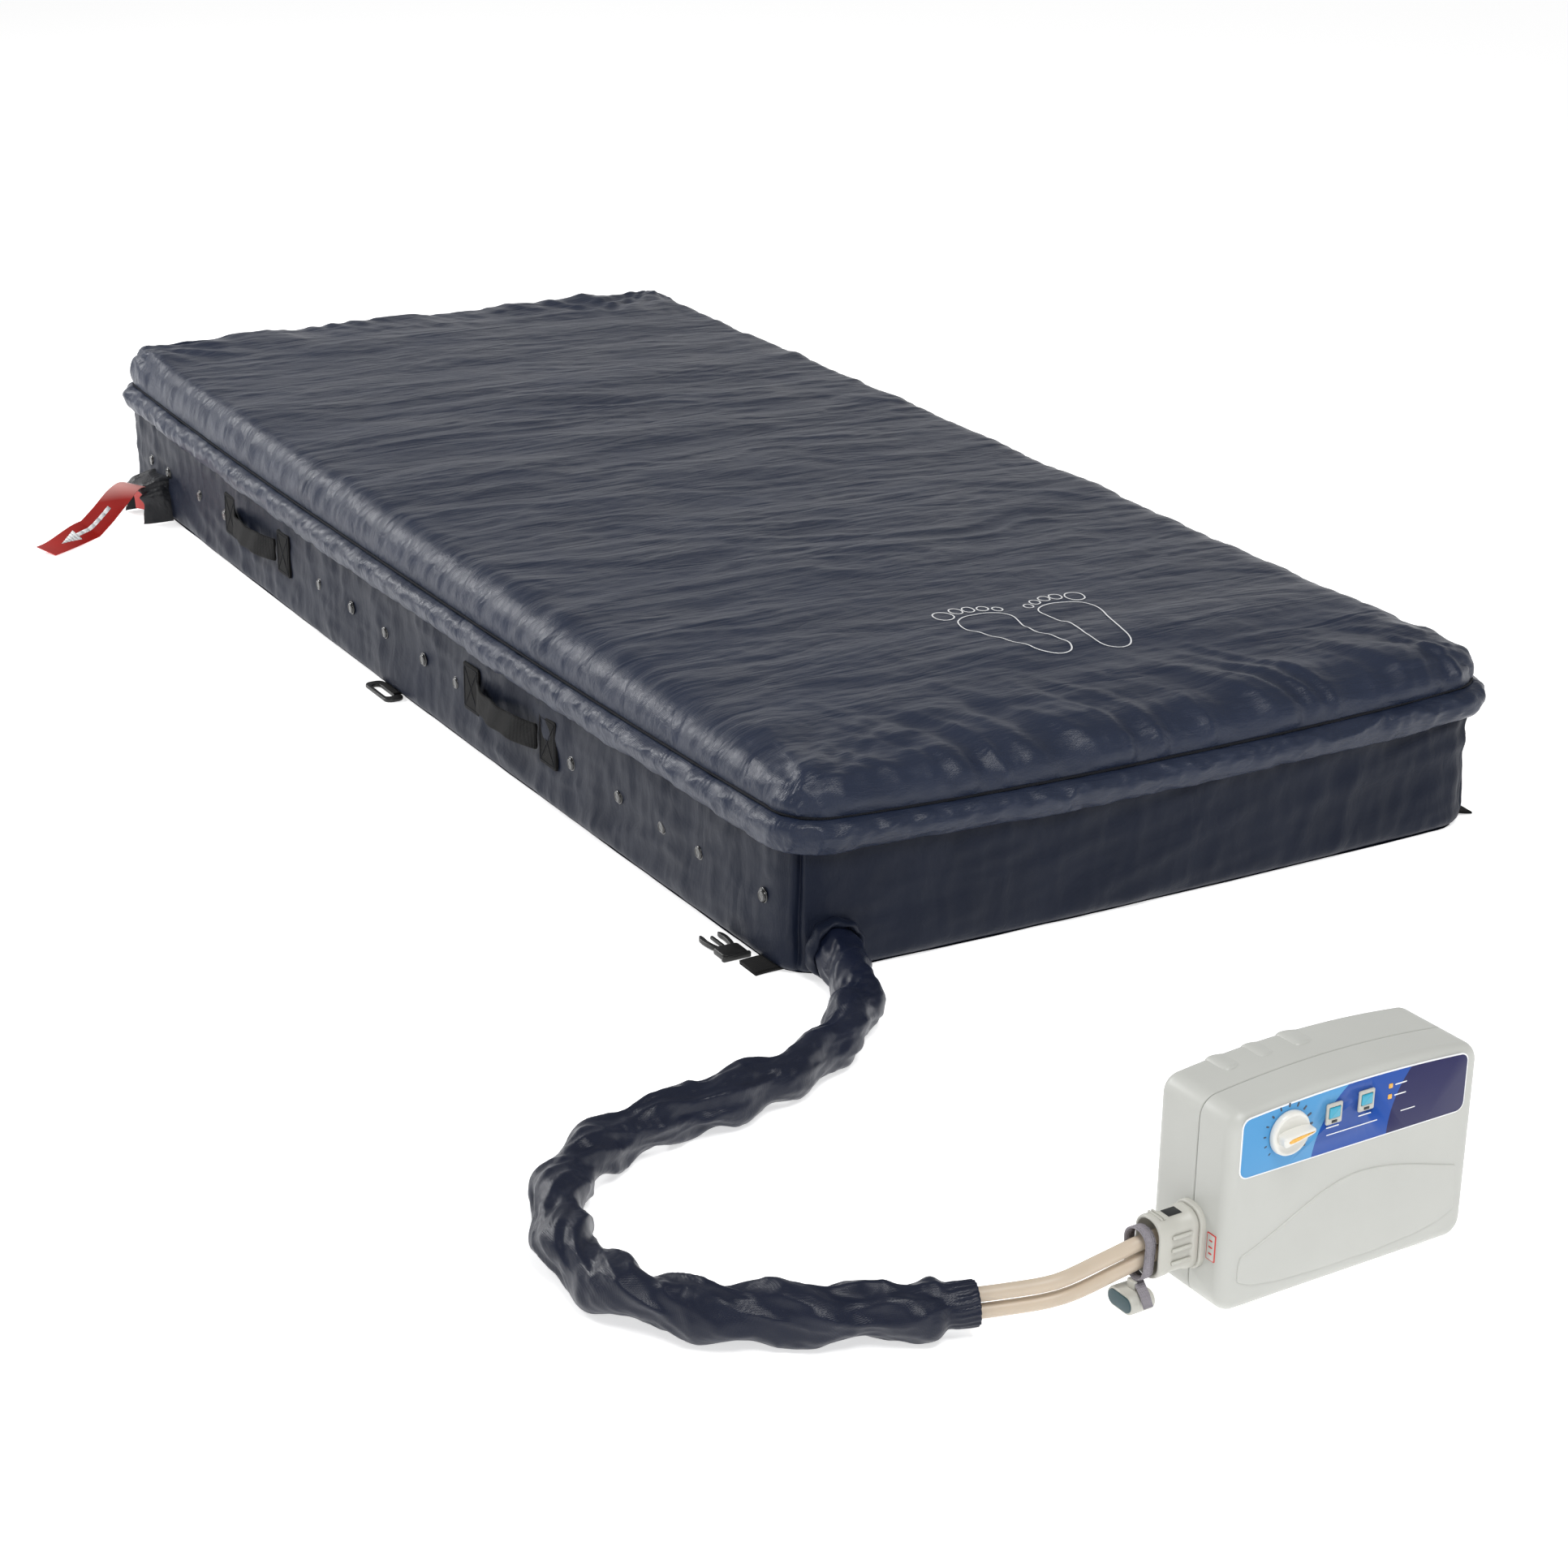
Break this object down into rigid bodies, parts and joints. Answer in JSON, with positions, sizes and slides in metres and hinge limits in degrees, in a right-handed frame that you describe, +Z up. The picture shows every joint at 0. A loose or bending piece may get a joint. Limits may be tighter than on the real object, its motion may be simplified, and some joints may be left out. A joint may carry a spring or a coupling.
{
  "type": "pressure relief mattress",
  "caption": "Alternating-pressure air mattress with zipped cover, air cells on a foam base, sleeved hoses and a compressor pump.",
  "frame": {"origin": "middle of the mattress's flat underside, where it rests on the bed deck or floor", "axes": "+Z up; +Y along the mattress towards its head end; +X across it, with the quick-deflate tag and hose outlet on the -X side; the pump stands beyond the foot end, on the -Y side"},
  "size_m": [1.4327, 2.8081, 0.222],
  "materials": {
    "cover_top": "satin water-resistant woven nylon",
    "cover_walls": "satin woven nylon",
    "webbing": "woven polypropylene webbing",
    "grey_webbing": "woven hook-and-loop strap",
    "stud_black": "gloss enamel press studs on tape",
    "black_plastic": "moulded acetal",
    "air_cell": "welded nylon-backed PVC",
    "foam": "open-cell polyurethane foam",
    "air_tube": "flexible PVC tube",
    "grey_plastic": "moulded ABS",
    "pump_shell": "fine spark-eroded ABS",
    "panel_blue": "printed polyester overlay in three blues",
    "knob_white": "moulded ABS",
    "teal_button": "moulded ABS",
    "amber_lens": "clear tinted acrylic",
    "red_tag": "flexible PVC ribbon",
    "steel": "plated steel and die casting",
    "circuit_board": "solder-masked glass-epoxy board",
    "foot_rubber": "matt rubber"
  },
  "bodies": {
    "root_mattress": {"base_cover": "cover_walls", "top_cover": "cover_top", "cover_flap": "cover_top", "zip_tape": "webbing", "foam_base": "foam", "air_cell_01": "air_cell", "air_cell_02": "air_cell", "air_cell_03": "air_cell", "air_cell_04": "air_cell", "air_cell_05": "air_cell", "air_cell_06": "air_cell", "air_cell_07": "air_cell", "air_cell_08": "air_cell", "air_cell_09": "air_cell", "air_cell_10": "air_cell", "air_cell_11": "air_cell", "air_cell_12": "air_cell", "air_cell_13": "air_cell", "air_cell_14": "air_cell", "air_cell_15": "air_cell", "air_cell_16": "air_cell", "air_manifold_a": "air_tube", "air_manifold_b": "air_tube", "side_tape_left": "stud_black", "side_tape_right": "stud_black", "strap_foot_left": "webbing", "buckle_foot_left": "black_plastic", "strap_loop_left": "black_plastic", "strap_loop_right": "black_plastic", "cpr_hood": "webbing", "cpr_valve_body": "grey_plastic", "sleeve_collar": "cover_walls", "hose_sleeve": "cover_walls", "air_hose_a": "air_tube", "air_hose_b": "air_tube", "hose_connector": "grey_plastic", "connector_strap": "grey_webbing"},
    "zip_slider": {"zip_slider": "steel"},
    "carry_handle_head_left": {"carry_handle_head_left": "webbing"},
    "carry_handle_foot_left": {"carry_handle_foot_left": "webbing"},
    "carry_handle_head_right": {"carry_handle_head_right": "webbing"},
    "carry_handle_foot_right": {"carry_handle_foot_right": "webbing"},
    "cpr_release": {"cpr_plug": "red_tag", "cpr_tag": "red_tag"},
    "transport_cap": {"transport_cap": "grey_plastic"},
    "pump": {"pump_front_shell": "pump_shell", "pump_rear_shell": "pump_shell", "control_panel": "panel_blue", "indicator_lens": "amber_lens", "compressor": "steel", "rotary_valve": "grey_plastic", "circuit_board": "circuit_board", "outlet_socket": "grey_plastic", "mains_inlet": "black_plastic", "rubber_feet": "foot_rubber"},
    "pressure_knob": {"pressure_knob": "knob_white"},
    "alarm_reset_button": {"alarm_reset_button": "teal_button"},
    "static_button": {"static_button": "teal_button"},
    "hook_left": {"hook_left": "grey_plastic"},
    "hook_right": {"hook_right": "grey_plastic"}
  },
  "joints": [
    {"name": "pump_unplug", "type": "slide", "parent": "root_mattress", "child": "pump", "axis": [0.9994, 0.0349, 0], "range_m": [0, 0.06]},
    {"name": "pressure_knob_turn", "type": "hinge", "parent": "pump", "child": "pressure_knob", "pos_m": [-0.41904, -1.75194, 0.163], "axis": [0.0349, -0.9994, 0], "range_deg": [-130, 130]},
    {"name": "alarm_reset_press", "type": "slide", "parent": "pump", "child": "alarm_reset_button", "axis": [-0.0349, 0.9994, 0], "range_m": [0, 0.002], "stiffness_N_per_m": 400},
    {"name": "static_press", "type": "slide", "parent": "pump", "child": "static_button", "axis": [-0.0349, 0.9994, 0], "range_m": [0, 0.002], "stiffness_N_per_m": 400},
    {"name": "hook_left_fold", "type": "hinge", "parent": "pump", "child": "hook_left", "pos_m": [-0.41957, -1.6506, 0.158], "axis": [0.9994, 0.0349, 0], "range_deg": [0, 90]},
    {"name": "hook_right_fold", "type": "hinge", "parent": "pump", "child": "hook_right", "pos_m": [-0.30364, -1.64655, 0.158], "axis": [0.9994, 0.0349, 0], "range_deg": [0, 90]},
    {"name": "cpr_pull", "type": "slide", "parent": "root_mattress", "child": "cpr_release", "axis": [-1, 0, 0], "range_m": [0, 0.03]},
    {"name": "zip_run", "type": "slide", "parent": "root_mattress", "child": "zip_slider", "axis": [0, -1, 0], "range_m": [0, 0.66]},
    {"name": "transport_cap_swing", "type": "hinge", "parent": "root_mattress", "child": "transport_cap", "pos_m": [-0.5375, -1.71205, 0.037], "axis": [-0.0349, 0.9994, 0], "range_deg": [0, 12]},
    {"name": "carry_handle_head_left_lift", "type": "hinge", "parent": "root_mattress", "child": "carry_handle_head_left", "pos_m": [-0.46863, 0.452, 0.0995], "axis": [0, 1, 0], "range_deg": [0, 80]},
    {"name": "carry_handle_head_right_lift", "type": "hinge", "parent": "root_mattress", "child": "carry_handle_head_right", "pos_m": [0.46863, 0.452, 0.0995], "axis": [0, -1, 0], "range_deg": [0, 80]},
    {"name": "carry_handle_foot_left_lift", "type": "hinge", "parent": "root_mattress", "child": "carry_handle_foot_left", "pos_m": [-0.46936, -0.368, 0.0995], "axis": [0, 1, 0], "range_deg": [0, 80]},
    {"name": "carry_handle_foot_right_lift", "type": "hinge", "parent": "root_mattress", "child": "carry_handle_foot_right", "pos_m": [0.46936, -0.368, 0.0995], "axis": [0, -1, 0], "range_deg": [0, 80]}
  ]
}
